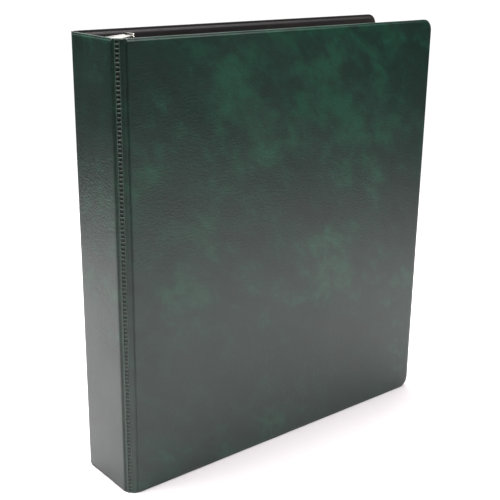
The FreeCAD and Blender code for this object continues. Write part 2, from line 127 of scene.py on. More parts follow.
# a lever: sheet, hub bore, bend, slope of its plate, curl and half-width at its tip
LEVER_SHEET = 1.1*MM
HUB_WALL, HUB_BORE, HUB_BEVEL = 1.0*MM, 1.06*MM, 0.2*MM
BEND = 1.5*MM
PLATE_BACK, PLATE_FOOT, FOOT_SHARE = -0.45*MM, 0.6*MM, 0.97
PLATE_SLOPE = 0.10
PLATE_DISH = 0.25*MM
CURL = 1.3*MM
TIP_HALF = 4.4*MM
TAPER_FROM, TAPER_CURVE = 0.3, 1.3
HUB_SHARE = 0.98
TONGUE_HALF, TONGUE_TIP_HALF = 2.5*MM, 2.3*MM
TONGUE_DROP = -3.4*MM


# ---------------------------------------------------------------- settings

class CaseSettings(bpy.types.PropertyGroup):
    """Sizes of the welded vinyl case."""
    bead_height: bpy.props.FloatProperty(
        name="Bead height", description="Melted bead above the welded flange",
        default=0.36*MM, unit="LENGTH")
    ripple: bpy.props.FloatProperty(
        name="Bead ripple", description="Unevenness that the toothed welding die leaves in the bead",
        default=0.07*MM, unit="LENGTH")
    bead_width: bpy.props.FloatProperty(
        name="Bead width", description="Width of the bead along every welded edge",
        default=0.7*MM, unit="LENGTH")
    crown: bpy.props.FloatProperty(
        name="Crown", description="How much lower a panel's face is near its edges than in its middle",
        default=0.12*MM, unit="LENGTH")
    inner_corner: bpy.props.FloatProperty(
        name="Inner corner", description="Corner radius of the weld line beside a hinge",
        default=1.8*MM, unit="LENGTH")
    rung_pitch: bpy.props.FloatProperty(
        name="Rung pitch", description="Spacing of the rungs that the welding die leaves in a hinge web",
        default=2.6*MM, unit="LENGTH")
    rung_height: bpy.props.FloatProperty(
        name="Rung height", description="How far rails and rungs stand above the web",
        default=0.40*MM, unit="LENGTH")
    cell_depth: bpy.props.FloatProperty(
        name="Cell depth", description="How deep the die presses the web between two rungs",
        default=0.36*MM, unit="LENGTH")


class FinishSettings(bpy.types.PropertyGroup):
    """Colours, as sRGB hex."""
    vinyl_dark: bpy.props.StringProperty(
        name="Vinyl, dark", description="Deepest green of the cover sheet", default="#1A2B25")
    vinyl_mid: bpy.props.StringProperty(
        name="Vinyl, mid", description="Middle green of the cover sheet", default="#1B332B")
    vinyl_light: bpy.props.StringProperty(
        name="Vinyl, light", description="Lightest green of the cover sheet", default="#1F493A")
    # painted highlight: the paler green that the ladder's raised ribs are given
    vinyl_rib_highlight: bpy.props.StringProperty(
        name="Vinyl, ribs", description="Stress-whitened green of the hinge ladder's ribs",
        default="#3E5349")
    # painted shade: the darker green that the ladder's sunken cells are given
    vinyl_pit_shade: bpy.props.StringProperty(
        name="Vinyl, cells", description="Fused green of the hinge ladder's cells", default="#14241D")
    lining: bpy.props.StringProperty(
        name="Lining", description="Colour of the lining sheet", default="#1E1A1A")
    board: bpy.props.StringProperty(
        name="Greyboard", description="Colour of the stiffening board", default="#8F897D")
    nickel: bpy.props.StringProperty(
        name="Nickel plate", description="Colour of the plated ring metal", default="#E2DFD8")
    zinc: bpy.props.StringProperty(
        name="Zinc plate", description="Colour of the blades and pins", default="#B9BCC0")
    floor: bpy.props.StringProperty(
        name="Floor", description="Colour of the paper sweep", default="#F6F0F2")


class StageSettings(bpy.types.PropertyGroup):
    """Camera, light and floor."""
    azimuth: bpy.props.FloatProperty(
        name="Azimuth", description="Camera's turn to the left of the front cover",
        default=math.radians(-39.36), subtype="ANGLE")
    elevation: bpy.props.FloatProperty(
        name="Elevation", description="Camera's height above the horizon",
        default=math.radians(18.24), subtype="ANGLE")
    roll: bpy.props.FloatProperty(
        name="Roll", description="Camera's tilt", default=math.radians(0.75), subtype="ANGLE")
    distance: bpy.props.FloatProperty(
        name="Distance", description="From the camera to its target", default=0.6695, unit="LENGTH")
    target: bpy.props.FloatVectorProperty(
        name="Target", description="Point that the camera is turned round",
        default=(-0.0112, 0.0, 0.1372), size=3, subtype="TRANSLATION", unit="LENGTH")
    lens: bpy.props.FloatProperty(
        name="Lens", description="Focal length on a 36 mm sensor, in millimetres", default=68.36)
    floor_radius: bpy.props.FloatProperty(
        name="Floor radius", description="Where the paper sweep has faded out", default=1.25, unit="LENGTH")
    key_power: bpy.props.FloatProperty(
        name="Key light", description="Power of the large soft light overhead, in watts", default=46.0)
    fill_power: bpy.props.FloatProperty(
        name="Fill light", description="Power of the soft light in front, in watts", default=8.0)


# ---------------------------------------------------------------- materials

def linear(hex_text):
    """An sRGB hex colour as linear red, green, blue and alpha."""
    parts = [int(hex_text[i:i + 2], 16)/255 for i in (1, 3, 5)]
    return [p/12.92 if p <= 0.04045 else ((p + 0.055)/1.055)**2.4 for p in parts] + [1.0]


def add_node(tree, kind, settings=None, inputs=None):
    """Add one shader node. An input is given a value, or linked when it is another node's socket."""
    node = tree.nodes.new(kind)
    for name, value in (settings or {}).items():
        setattr(node, name, value)
    for name, value in (inputs or {}).items():
        if isinstance(value, bpy.types.NodeSocket):
            tree.links.new(value, node.inputs[name])
        else:
            node.inputs[name].default_value = value
    return node


def start_material(name):
    """A new node material and its emptied tree."""
    material = bpy.data.materials.new(name)
    material.use_nodes = True
    material.node_tree.nodes.clear()
    return material, material.node_tree


def finish_material(tree, **inputs):
    """Add the Principled shader with these inputs, underscores standing for spaces, and the output."""
    named = {name.replace("_", " "): value for name, value in inputs.items()}
    shader = add_node(tree, "ShaderNodeBsdfPrincipled", inputs=named)
    add_node(tree, "ShaderNodeOutputMaterial", inputs={"Surface": shader.outputs["BSDF"]})


def noise(tree, where, size_mm, detail=3.0, roughness=0.5, distortion=0.0):
    """A noise pattern whose features are about this many millimetres across."""
    node = add_node(tree, "ShaderNodeTexNoise", inputs={
        "Vector": where, "Scale": 1/(size_mm*MM), "Detail": detail, "Roughness": roughness,
        "Distortion": distortion})
    return node.outputs["Fac"]


def ramp(tree, factor, stops):
    """A colour ramp through (position, colour) stops."""
    node = add_node(tree, "ShaderNodeValToRGB", inputs={"Fac": factor})
    elements = node.color_ramp.elements
    while len(elements) < len(stops):
        elements.new(0.5)
    for element, (position, colour) in zip(elements, stops):
        element.position = position
        element.color = colour
    return node.outputs["Color"]


def spread(tree, factor, low, high, start=0.3, end=0.7):
    """Map a pattern's range from start to end onto low to high."""
    node = add_node(tree, "ShaderNodeMapRange", inputs={
        "Value": factor, "From Min": start, "From Max": end, "To Min": low, "To Max": high})
    return node.outputs["Result"]


def leathergrain_vinyl(colours):
    """Calendered PVC sheet, embossed with a fine leather grain, semi-gloss: broken soft highlights."""
    material, tree = start_material("leathergrain_pvc_sheet_green")
    where = add_node(tree, "ShaderNodeTexCoord").outputs["Object"]
    # print rolls leave loose lighter wisps, 10 to 20 mm across, that trail down to the right;
    # the pattern is stretched and turned so that they do
    slanted = add_node(tree, "ShaderNodeMapping", {"vector_type": "TEXTURE"}, {
        "Vector": where, "Location": (0.013, 0.02, -0.031), "Rotation": (0, math.radians(38), 0),
        "Scale": (1.5, 1.2, 1.0)}).outputs["Vector"]
    wisps = noise(tree, slanted, 12, detail=6.0, roughness=0.62, distortion=0.25)
    # and they gather in fields some 110 mm across
    fields = noise(tree, slanted, 75, detail=1.0)
    gathered = add_node(tree, "ShaderNodeMath", {"operation": "MULTIPLY_ADD"}, {
        0: fields, 1: 0.7, 2: wisps}).outputs["Value"]
    strength = spread(tree, gathered, 0.0, 1.0, start=0.68, end=1.12)
    colour = ramp(tree, strength, [(0.0, linear(colours.vinyl_dark)), (0.5, linear(colours.vinyl_mid)),
                                   (1.0, linear(colours.vinyl_light))])
    roughness = spread(tree, noise(tree, slanted, 30, detail=2.0), 0.29, 0.36)
    # leather creases of real sheet are near 0.6 mm apart; at 1.2 mm they still show on a whole cover
    creased = add_node(tree, "ShaderNodeMapping", inputs={
        "Vector": where, "Scale": (0.55, 0.55, 1.0)}).outputs["Vector"]
    cells = add_node(tree, "ShaderNodeTexVoronoi", {"feature": "SMOOTH_F1"}, {
        "Vector": creased, "Scale": 1/(1.2*MM), "Smoothness": 0.4}).outputs["Distance"]
    grain = add_node(tree, "ShaderNodeBump", inputs={
        "Strength": 0.55, "Distance": 0.13*MM, "Height": cells})
    # sheet over board is never quite flat: shallow waves about 30 mm long
    waves = add_node(tree, "ShaderNodeBump", inputs={
        "Strength": 0.5, "Distance": 0.25*MM, "Height": noise(tree, slanted, 34, detail=1.5),
        "Normal": grain.outputs["Normal"]})
    finish_material(tree, Base_Color=colour, Roughness=roughness, IOR=1.5,
                    Normal=waves.outputs["Normal"])
    return material


def pressed_vinyl(name, hex_text, roughness):
    """The same sheet where the hot die has closed its grain: plain, and even in colour; here it carries the
    ribs' painted highlight and the cells' painted shade.
    """
    material, tree = start_material(name)
    finish_material(tree, Base_Color=linear(hex_text), Roughness=roughness, IOR=1.5)
    return material


def rib_painted_highlight(colours):
    """Painted highlight on the hinge ladder's ribs: a paler green than the sheet, so that they read as fine
    pale lines.
    """
    return pressed_vinyl("pvc_rib_painted_highlight", colours.vinyl_rib_highlight, 0.42)


def pit_painted_shade(colours):
    """Painted shade in the hinge ladder's sunken cells: smooth, deep green PVC, darker than the sheet, the
    darkest part of the hinge.
    """
    return pressed_vinyl("pvc_cell_painted_shade", colours.vinyl_pit_shade, 0.3)


def smooth_lining(colours):
    """Thin matt PVC lining, brown-black, lightly calendered: a dull even surface with a faint sheen."""
    material, tree = start_material("matt_pvc_lining_brown_black")
    where = add_node(tree, "ShaderNodeTexCoord").outputs["Object"]
    base = linear(colours.lining)
    lighter = [min(1.0, c*1.5) for c in base[:3]] + [1.0]
    colour = ramp(tree, noise(tree, where, 28, detail=3.0), [(0.35, base), (0.7, lighter)])
    skin = add_node(tree, "ShaderNodeBump", inputs={
        "Strength": 0.3, "Distance": 0.05*MM, "Height": noise(tree, where, 0.9, detail=2.0)})
    waves = add_node(tree, "ShaderNodeBump", inputs={
        "Strength": 0.5, "Distance": 0.3*MM, "Height": noise(tree, where, 40, detail=1.0),
        "Normal": skin.outputs["Normal"]})
    roughness = spread(tree, noise(tree, where, 15), 0.46, 0.6)
    finish_material(tree, Base_Color=colour, Roughness=roughness, IOR=1.53,
                    Normal=waves.outputs["Normal"])
    return material


def raw_greyboard(colours):
    """Grey board pressed from waste paper: matt, flecked with darker and lighter fibre."""
    material, tree = start_material("raw_pressed_greyboard")
    where = add_node(tree, "ShaderNodeTexCoord").outputs["Object"]
    base = linear(colours.board)
    darker = [c*0.72 for c in base[:3]] + [1.0]
    colour = ramp(tree, noise(tree, where, 1.4, detail=6.0, roughness=0.7), [(0.36, darker), (0.6, base)])
    fibre = add_node(tree, "ShaderNodeBump", inputs={
        "Strength": 0.5, "Distance": 0.08*MM, "Height": noise(tree, where, 0.6, detail=4.0)})
    finish_material(tree, Base_Color=colour, Roughness=0.92, Normal=fibre.outputs["Normal"])
    return material


def bright_nickel(colours):
    """Nickel plate over polished steel: warm mirror with a faint haze from barrel polishing."""
    material, tree = start_material("bright_nickel_plate")
    where = add_node(tree, "ShaderNodeTexCoord").outputs["Object"]
    haze = spread(tree, noise(tree, where, 4.0, detail=5.0, roughness=0.65), 0.10, 0.24)
    polish = add_node(tree, "ShaderNodeBump", inputs={
        "Strength": 0.12, "Distance": 0.04*MM, "Height": noise(tree, where, 1.2, detail=3.0)})
    finish_material(tree, Base_Color=linear(colours.nickel), Metallic=1.0, Roughness=haze,
                    Normal=polish.outputs["Normal"])
    return material


def rolled_zinc(colours):
    """Cold-rolled strip with bright zinc: bluish, brushed along its length, softer than nickel."""
    material, tree = start_material("zinc_plated_rolled_strip")
    where = add_node(tree, "ShaderNodeTexCoord").outputs["Object"]
    along = add_node(tree, "ShaderNodeMapping", inputs={
        "Vector": where, "Scale": (1.0, 1.0, 0.03)}).outputs["Vector"]
    lines = noise(tree, along, 0.5, detail=3.0)
    roughness = spread(tree, lines, 0.28, 0.42)
    brushed = add_node(tree, "ShaderNodeBump", inputs={
        "Strength": 0.25, "Distance": 0.03*MM, "Height": lines})
    finish_material(tree, Base_Color=linear(colours.zinc), Metallic=1.0, Roughness=roughness,
                    Normal=brushed.outputs["Normal"])
    return material


MAKERS = {"vinyl": leathergrain_vinyl, "rib": rib_painted_highlight, "pit": pit_painted_shade, "lining": smooth_lining,
          "board": raw_greyboard, "nickel": bright_nickel, "zinc": rolled_zinc}
made_materials = {}


def finish_of(name):
    """The material of that short name, made at its first use."""
    if name not in made_materials:
        made_materials[name] = MAKERS[name](bpy.context.scene.album_finish)
    return made_materials[name]


# ---------------------------------------------------------------- mesh helpers

def make_object(name, points, faces, finishes, finish_index=None, crease_degrees=50):
    """A mesh object from points and faces, smooth except where faces meet at a sharp angle."""
    mesh = bpy.data.meshes.new(name)
    mesh.from_pydata(points, [], faces)
    for finish in finishes:
        mesh.materials.append(finish_of(finish))
    if finish_index:
        mesh.polygons.foreach_set("material_index", finish_index)
    shape = bmesh.new()
    shape.from_mesh(mesh)
    bmesh.ops.recalc_face_normals(shape, faces=shape.faces)
    shape.to_mesh(mesh)
    shape.free()
    mesh.polygons.foreach_set("use_smooth", [True]*len(mesh.polygons))
    mesh.set_sharp_from_angle(angle=math.radians(crease_degrees))
    piece = bpy.data.objects.new(name, mesh)
    bpy.context.scene.collection.objects.link(piece)
    return piece


def skin_loops(loops):
    """Points and faces of a closed shell through equal loops, its first and last loops filled."""
    count = len(loops[0])
    points = [point for loop in loops for point in loop]
    faces = [tuple(range(count)), tuple((len(loops) - 1)*count + i for i in reversed(range(count)))]
    for row in range(len(loops) - 1):
        for i in range(count):
            following = (i + 1) % count
            faces.append((row*count + i, row*count + following,
                          (row + 1)*count + following, (row + 1)*count + i))
    return points, faces


def rounded_outline(low, high, bottom, top, low_radius, high_radius):
    """Points round a rectangle whose corners have one radius at its low side and one at its high."""
    corners = ((low, bottom, low_radius, 180), (high, bottom, high_radius, 270),
               (high, top, high_radius, 0), (low, top, low_radius, 90))
    arcs = []
    for a, b, radius, start in corners:
        centre_a = a + radius if a == low else a - radius
        centre_b = b + radius if b == bottom else b - radius
        turns = [math.radians(start + 90*i/CORNER_PARTS) for i in range(CORNER_PARTS + 1)]
        arcs.append([(centre_a + radius*math.cos(turn), centre_b + radius*math.sin(turn))
                     for turn in turns])
    points = []
    for index, arc in enumerate(arcs):
        points += arc
        side_parts = LONG_PARTS if index in (1, 3) else SHORT_PARTS
        begin, end = arc[-1], arcs[(index + 1) % 4][0]
        for i in range(1, side_parts):
            share = i/side_parts
            points.append((begin[0] + (end[0] - begin[0])*share, begin[1] + (end[1] - begin[1])*share))
    return points


class Panel:
    """Where one stiff panel lies: its edges, its board and the weld plane between its two sheets."""

    def __init__(self, name):
        self.name = name
        skin_low, skin_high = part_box(f"{name}_outer_vinyl")
        board_low, board_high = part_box(f"{name}_board")
        lining_low, lining_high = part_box(f"{name}_lining")
        self.bottom, self.top = skin_low.z, skin_high.z
        self.free_flange = board_low.z - skin_low.z
        if name == "spine":
            self.low, self.high = skin_low.y, skin_high.y
            self.hinge_flange = board_low.y - skin_low.y
            self.weld, self.face, self.inside = skin_high.x, skin_low.x, lining_high.x
        else:
            self.low, self.high = skin_low.x, skin_high.x
            self.hinge_flange = board_low.x - skin_low.x
            outward = dict(COVERS)[name]
            self.weld = skin_high.y if outward < 0 else skin_low.y
            self.face = skin_low.y if outward < 0 else skin_high.y
            self.inside = lining_high.y if outward < 0 else lining_low.y
        self.face_depth = abs(self.face - self.weld)
        self.inside_depth = abs(self.inside - self.weld)
        self.board_half = (board_high - board_low)[0 if name == "spine" else 1]/2
        self.outward = -1 if name in ("spine", "front") else 1

    def point(self, a, b, depth):
        """A point at a along the panel, b up, and this far outward from the weld plane."""
        if self.name == "spine":
            return (self.weld + self.outward*depth, a, b)
        return (a, self.weld + self.outward*depth, b)

    def hinge_inset(self, inset):
        """The same line of the section beside a hinge, where the flange is narrower."""
        if inset <= self.free_flange:
            return inset*self.hinge_flange/self.free_flange
        return inset - self.free_flange + self.hinge_flange

    def loop(self, inset, depth, inner_corner, ripple=0.0):
        """The panel's outline this far inside its edge, at this depth."""
        beside_hinge = self.hinge_inset(inset)
        low = self.low + beside_hinge
        high = self.high - (beside_hinge if self.name == "spine" else inset)
        low_radius = max(inner_corner - inset*CORNER_LOSS, LEAST_CORNER)
        high_radius = low_radius if self.name == "spine" else max(FORE_CORNER - inset, LEAST_CORNER)
        outline = rounded_outline(low, high, self.bottom + inset, self.top - inset,
                                  low_radius, high_radius)
        return [self.point(a, b, depth + ripple*math.sin(a*RIPPLE_TURN)*math.sin(b*math.tau/RIPPLE_LENGTH))
                for a, b in outline]

    def crown_insets(self):
        """Distances from the edge at which the face has a loop of its own."""
        half = (self.high - self.low)/2
        return [inset for inset in (6*MM, 10*MM, 16*MM, 26*MM, 42*MM, 66*MM, 98*MM)
                if self.hinge_inset(inset) < half - 4*MM]


def outer_profile(panel, case):
    """The outer sheet's section, from the middle of its face over the weld to its inner side.

    Each entry is the distance inside the edge, the height above the weld plane, and the ripple.
    """
    face, wide, tall = panel.face_depth, case.bead_width, case.bead_height
    flange = face - panel.board_half
    board = panel.free_flange
    rim = face - case.crown
    section = [(inset, face - case.crown*math.exp(-inset/(18*MM)), 0.0)
               for inset in reversed(panel.crown_insets())]
    # the padded shoulder rolls down to the groove
    section += [(4.4*MM, rim + 0.02*MM, 0.0), (3.0*MM, rim, 0.0), (2.2*MM, rim - 0.03*MM, 0.0),
                (1.75*MM, rim - 0.08*MM, 0.0), (1.42*MM, rim - 0.19*MM, 0.0),
                (1.2*MM, rim - 0.35*MM, 0.0), (1.05*MM, rim - 0.53*MM, 0.0)]
    # groove, bead and the sheet's edge, then its inner side back to the board
    section += [(wide + 0.2*MM, flange + tall*0.85, 0.0), (wide, flange + tall*0.8, 0.0),
                (wide*0.78, flange + tall*0.95, case.ripple), (wide*0.5, flange + tall*1.15, case.ripple),
                (wide*0.2, flange + tall*0.8, case.ripple), (0.0, flange + 0.1*MM, 0.0), (0.0, 0.0, 0.0),
                (board - EDGE_ROOM, 0.0, 0.0), (board - EDGE_ROOM, panel.board_half + FACE_ROOM, 0.0)]
    return section


def lining_profile(panel):
    """The lining's section, as outer_profile gives it but with depths on the inner side."""
    face = panel.inside_depth
    sheet = face - panel.board_half
    board = panel.free_flange
    section = [(inset, -face, 0.0) for inset in reversed(panel.crown_insets())]
    section += [(4.4*MM, -face, 0.0), (3.4*MM, -face + 0.02*MM, 0.0), (2.8*MM, -face + 0.10*MM, 0.0),
                (2.3*MM, -face + 0.32*MM, 0.0), (1.9*MM, -sheet - 0.35*MM, 0.0),
                (1.6*MM, -sheet - 0.08*MM, 0.0), (1.2*MM, -sheet, 0.0), (0.5*MM, -sheet - 0.03*MM, 0.0),
                (0.15*MM, -sheet + 0.02*MM, 0.0), (0.0, -sheet + 0.15*MM, 0.0), (0.0, 0.0, 0.0),
                (board - EDGE_ROOM, 0.0, 0.0), (board - EDGE_ROOM, -panel.board_half - FACE_ROOM, 0.0)]
    return section


def sheet_over(panel, name, section, finish, case):
    """One vinyl sheet of a panel, as a closed shell with the given section all round."""
    loops = [panel.loop(inset, depth, case.inner_corner, ripple) for inset, depth, ripple in section]
    points, faces = skin_loops(loops)
    return make_object(name, points, faces, [finish])


def body_of_panel(name):
    """The CAD body that a panel belongs to."""
    return "spine" if name == "spine" else f"{name}_cover"


class Web:
    """Where one hinge web lies: its two fold lines, its direction and its outward side."""

    def __init__(self, name, side):
        low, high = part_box(f"{name}_hinge_web")
        spine = Panel("spine")
        outer_sheet = spine.face_depth - spine.board_half
        inner_sheet = spine.inside_depth - spine.board_half
        self.half = (outer_sheet + inner_sheet)/2
        near_y, far_y = (high.y, low.y) if side < 0 else (low.y, high.y)
        self.start = Vector((low.x + self.half, near_y + side*self.half, 0))
        self.end = Vector((high.x - self.half, far_y - side*self.half, 0))
        self.along = (self.end - self.start).normalized()
        self.length = (self.end - self.start).length
        self.out = Vector((self.along.y*side, -self.along.x*side, 0))
        if self.out.x > 0:
            self.out = -self.out
        self.bottom, self.top = low.z, high.z

    def point(self, along, out, height):
        """A point along the web, out from its middle plane, and up."""
        spot = self.start + self.along*along + self.out*out
        return (spot.x, spot.y, height)


def bar(distance, half_width, softness):
    """A flat-topped bar: 1 on it, 0 off it, with soft flanks."""
    share = min(max((half_width + softness - abs(distance))/(2*softness), 0.0), 1.0)
    return share*share*(3 - 2*share)


# ---------------------------------------------------------------- pieces

class ALBUM_OT_outer_sheets(bpy.types.Operator):
    """Make the green sheet over the spine and both covers, with its welded bead and groove"""
    bl_idname = "album.outer_sheets"
    bl_label = "Outer vinyl"

    def execute(self, context):
        case = context.scene.album_case
        for name in PANELS:
            panel = Panel(name)
            piece = sheet_over(panel, f"{name}_vinyl_sheet", outer_profile(panel, case), "vinyl", case)
            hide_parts(f"{name}_outer_vinyl")
            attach(piece, body_of_panel(name))
        return {"FINISHED"}


class ALBUM_OT_linings(bpy.types.Operator):
    """Make the dark lining of the spine and both covers"""
    bl_idname = "album.linings"
    bl_label = "Linings"

    def execute(self, context):
        case = context.scene.album_case
        for name in PANELS:
            panel = Panel(name)
            piece = sheet_over(panel, f"{name}_lining_sheet", lining_profile(panel), "lining", case)
            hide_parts(f"{name}_lining")
            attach(piece, body_of_panel(name))
        return {"FINISHED"}


class ALBUM_OT_hinge_webs(bpy.types.Operator):
    """Make both hinge webs with the ladder that the welding die leaves in them"""
    bl_idname = "album.hinge_webs"
    bl_label = "Hinge webs"

    def execute(self, context):
        case = context.scene.album_case
        for name, side in COVERS:
            points, faces, finish = self.ladder(Web(name, side), case)
            piece = make_object(f"{name}_web_ladder", points, faces,
                                ["vinyl", "lining", "rib", "pit"], finish)
            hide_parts(f"{name}_hinge_web")
            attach(piece, f"{name}_hinge")
        return {"FINISHED"}

    def columns(self, web):
        """Distances across the web at which it has a column of points."""
        places = [MARGIN_MM] + [rail + step for rail in RAILS_MM for step in RAIL_STEPS_MM] + list(PLAIN_MM)
        return [place*MM for place in sorted(places)] + [web.length - MARGIN_MM*MM]

    def rows(self, web, first, count, pitch):
        """Heights at which it has a row of points."""
        heights = [first + (turn + share)*pitch for turn in range(count) for share in ROW_SHARES]
        heights += [web.bottom, first + count*pitch, web.top]
        return sorted(set(round(height, 7) for height in heights))

    def ladder(self, web, case):
        """Points, faces and each face's finish of one web: ladder outside, plain lining inside."""
        pitch, tall, pit = case.rung_pitch, case.rung_height, case.cell_depth
        rails = [rail*MM for rail in RAILS_MM]
        count = int((web.top - web.bottom)/pitch)
        first = web.bottom + (web.top - web.bottom - count*pitch)/2
        base = web.half - WEB_LOWER

        def rise(along, height):
            """How far the web's face stands out here: up on rails, rungs and ends, down in cells."""
            to_rung = abs((height - first + pitch/2) % pitch - pitch/2)
            on_rail = max(bar(along - place, RAIL_HALF, RAIL_FLANK) for place in rails)
            on_rung = bar(to_rung, RUNG_HALF, RUNG_FLANK)
            at_end = bar(min(height - web.bottom, web.top - height), END_BAR, RAIL_FLANK)
            inside = bar(along - (rails[0] + rails[1])/2, (rails[1] - rails[0])/2, RAIL_FLANK)
            raised = max(on_rail, at_end, inside*on_rung*RUNG_SHARE)
            return base + tall*raised - pit*inside*(1 - raised)

        across, heights = self.columns(web), self.rows(web, first, count, pitch)
        wide = len(across)
        points = [web.point(along, rise(along, height), height)
                  for height in heights for along in across]
        back = len(points)
        points += [web.point(along, -web.half, height)
                   for height in heights for along in (across[0], across[-1])]
        sheet, inner, rib, cell = range(4)
        faces, finish = [], []
        for row in range(len(heights) - 1):
            here, above = row*wide, (row + 1)*wide
            middle = (heights[row] + heights[row + 1])/2
            for i in range(wide - 1):
                lift = rise((across[i] + across[i + 1])/2, middle) - base
                faces.append((here + i, here + i + 1, above + i + 1, above + i))
                # raised faces take the rib finish, a painted highlight, and sunken faces take the pit
                # finish, painted shade
                finish.append(rib if lift > tall*RIB_FROM else cell if lift < -pit*CELL_FROM else sheet)
            low, high = back + 2*row, back + 2*row + 2
            faces += [(here, above, high, low), (here + wide - 1, low + 1, high + 1, above + wide - 1),
                      (low, high, high + 1, low + 1)]
            finish += [sheet, sheet, inner]
        last = (len(heights) - 1)*wide
        faces.append(tuple(range(wide)) + (back + 1, back))
        faces.append(tuple(last + i for i in reversed(range(wide)))
                     + (back + 2*len(heights) - 2, back + 2*len(heights) - 1))
        finish += [sheet, sheet]
        return points, faces, finish


class ALBUM_OT_folds(bpy.types.Operator):
    """Make the thin folds that join each hinge web to the spine and to its cover"""
    bl_idname = "album.folds"
    bl_label = "Folds"

    def execute(self, context):
        for name, side in COVERS:
            web = Web(name, side)
            toward_spine = Vector((0, -side, 0))
            toward_cover = Vector((1, 0, 0))
            folds = ((f"{name}_spine_fold", web.start, toward_spine, web.along, "spine", f"{name}_hinge"),
                     (f"{name}_cover_fold", web.end, -web.along, toward_cover,
                      f"{name}_hinge", f"{name}_cover"))
            for label, corner, before, after, body_a, body_b in folds:
                self.make_fold(label, web, corner, before, after, body_a, body_b)
        return {"FINISHED"}

    def make_fold(self, label, web, corner, before, after, body_a, body_b):
        """A strip that bends round a fold line, from one stiff part onto the next."""
        half = web.half - FOLD_THINNER
        begin, end = corner + before*FOLD_REACH, corner + after*FOLD_REACH
        outward = (-(before + after)).normalized()
        if outward.dot(web.out) < 0:
            outward = -outward
        middle, normals = [], []
        for i in range(FOLD_PARTS + 1):
            share = i/FOLD_PARTS
            spot = begin*(1 - share)**2 + corner*2*share*(1 - share) + end*share**2
            heading = (corner - begin)*(1 - share) + (end - corner)*share
            normal = Vector((heading.y, -heading.x, 0)).normalized()
            if normal.dot(outward) < 0:
                normal = -normal
            middle.append(spot)
            normals.append(normal)
        section = [spot + normal*half for spot, normal in zip(middle, normals)]
        section += [spot - normal*half for spot, normal in zip(reversed(middle), reversed(normals))]
        heights = (web.bottom + FOLD_SHORTER, web.top - FOLD_SHORTER)
        points = [(spot.x, spot.y, height) for height in heights for spot in section]
        count = len(section)
        faces = [tuple(range(count)), tuple(count + i for i in reversed(range(count)))]
        finish = [0, 0]
        for i in range(count):
            following = (i + 1) % count
            faces.append((i, following, count + following, count + i))
            finish.append(1 if i > FOLD_PARTS else 0)
        piece = make_object(label, points, faces, ["vinyl", "lining"], finish)
        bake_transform(piece)


class ALBUM_OT_boards(bpy.types.Operator):
    """Give the stiffening boards their raw greyboard"""
    bl_idname = "album.boards"
    bl_label = "Boards"

    def execute(self, context):
        for name in PANELS:
            dress(f"{name}_board", "board")
        return {"FINISHED"}


def dress(node, finish):
    """Give a CAD node a material of its own, leaving its mesh alone."""
    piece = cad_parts[node]
    if not piece.material_slots:
        piece.data.materials.append(None)
    for holder in piece.material_slots:
        holder.link = "OBJECT"
        holder.material = finish_of(finish)


